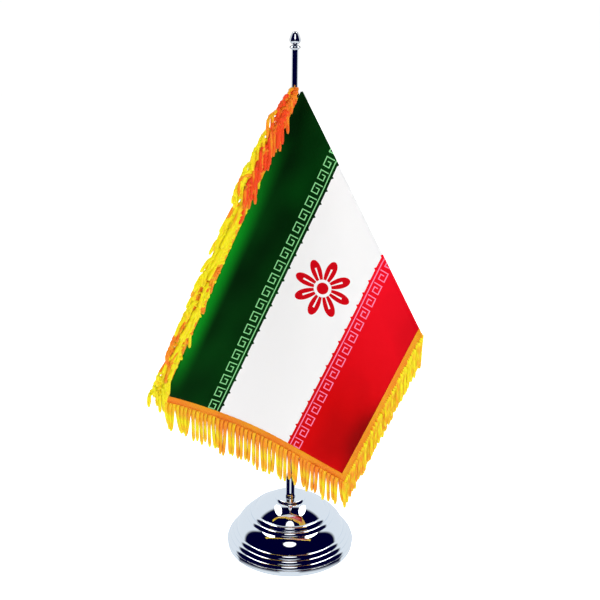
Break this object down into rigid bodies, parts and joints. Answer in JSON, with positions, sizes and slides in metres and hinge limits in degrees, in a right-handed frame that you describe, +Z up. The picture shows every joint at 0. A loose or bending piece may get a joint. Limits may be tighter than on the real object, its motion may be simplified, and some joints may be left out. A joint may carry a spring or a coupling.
{
  "type": "desk flag stand",
  "caption": "Weighted dome base with a screwed-in pole and finial, and a fringed satin flag that hangs folded from a sleeve on the pole.",
  "frame": {"origin": "middle of the base's underside, on the surface that it stands on", "axes": "+Z up the pole, -Y the side that the flag's face looks towards, +X towards the flag's fold"},
  "size_m": [0.1985, 0.1087, 0.4006],
  "materials": {
    "foam_pad": "closed-cell EVA foam, matt black",
    "plate_steel": "black lacquered sheet steel",
    "cast_iron": "grey cast iron, as cast",
    "chrome": "bright chrome plate, polished",
    "zinc_steel": "zinc-plated steel",
    "clear_rubber": "translucent silicone rubber",
    "printed_satin": "dye-printed polyester satin in three stripes",
    "lining_satin": "dye-printed polyester satin, back layer",
    "interlining": "non-woven stiffening felt",
    "header_braid": "gold rayon header braid",
    "fringe_rayon": "gold rayon bullion threads"
  },
  "bodies": {
    "base": {"base_pad": "foam_pad", "base_plate": "plate_steel", "base_ballast": "cast_iron", "base_shell": "chrome", "pole_stud": "zinc_steel", "clamp_washer": "zinc_steel", "spring_washer": "zinc_steel", "clamp_nut": "zinc_steel"},
    "rosette": {"rosette": "chrome"},
    "pole": {"pole_ferrule": "chrome", "pole_rod": "chrome"},
    "finial_disc": {"finial_disc": "chrome"},
    "finial_acorn": {"finial_acorn": "chrome", "finial_stud": "zinc_steel"},
    "stop_ring": {"height_ring": "clear_rubber"},
    "flag": {"pole_sleeve": "lining_satin", "flag_face": "printed_satin", "flag_interlining": "interlining", "flag_lining": "lining_satin", "header_top": "header_braid", "header_fly": "header_braid", "header_bottom": "header_braid", "threads_top": "fringe_rayon", "threads_fly": "fringe_rayon", "threads_bottom": "fringe_rayon"}
  },
  "joints": [
    {"name": "rosette_lift", "type": "slide", "parent": "base", "child": "rosette", "axis": [0, 0, 1], "range_m": [0, 0.008]},
    {"name": "pole_turn", "type": "hinge", "parent": "rosette", "child": "pole", "pos_m": [0, 0, 0.0426], "axis": [0, 0, 1], "range_deg": [0, 3600]},
    {"name": "disc_lift", "type": "slide", "parent": "pole", "child": "finial_disc", "axis": [0, 0, 1], "range_m": [0, 0.0054]},
    {"name": "finial_turn", "type": "hinge", "parent": "finial_disc", "child": "finial_acorn", "pos_m": [0, 0, 0.3918], "axis": [0, 0, 1], "range_deg": [0, 4320]},
    {"name": "flag_height", "type": "slide", "parent": "pole", "child": "stop_ring", "axis": [0, 0, 1], "range_m": [-0.012, 0.018]},
    {"name": "flag_swivel", "type": "hinge", "parent": "stop_ring", "child": "flag", "pos_m": [0, 0, 0.214], "axis": [0, 0, 1], "continuous": true}
  ],
  "couplings": [
    {"joint": "pole_turn", "follows": "rosette_lift", "rad_per_m": 7854},
    {"joint": "finial_turn", "follows": "disc_lift", "rad_per_m": 13963}
  ]
}
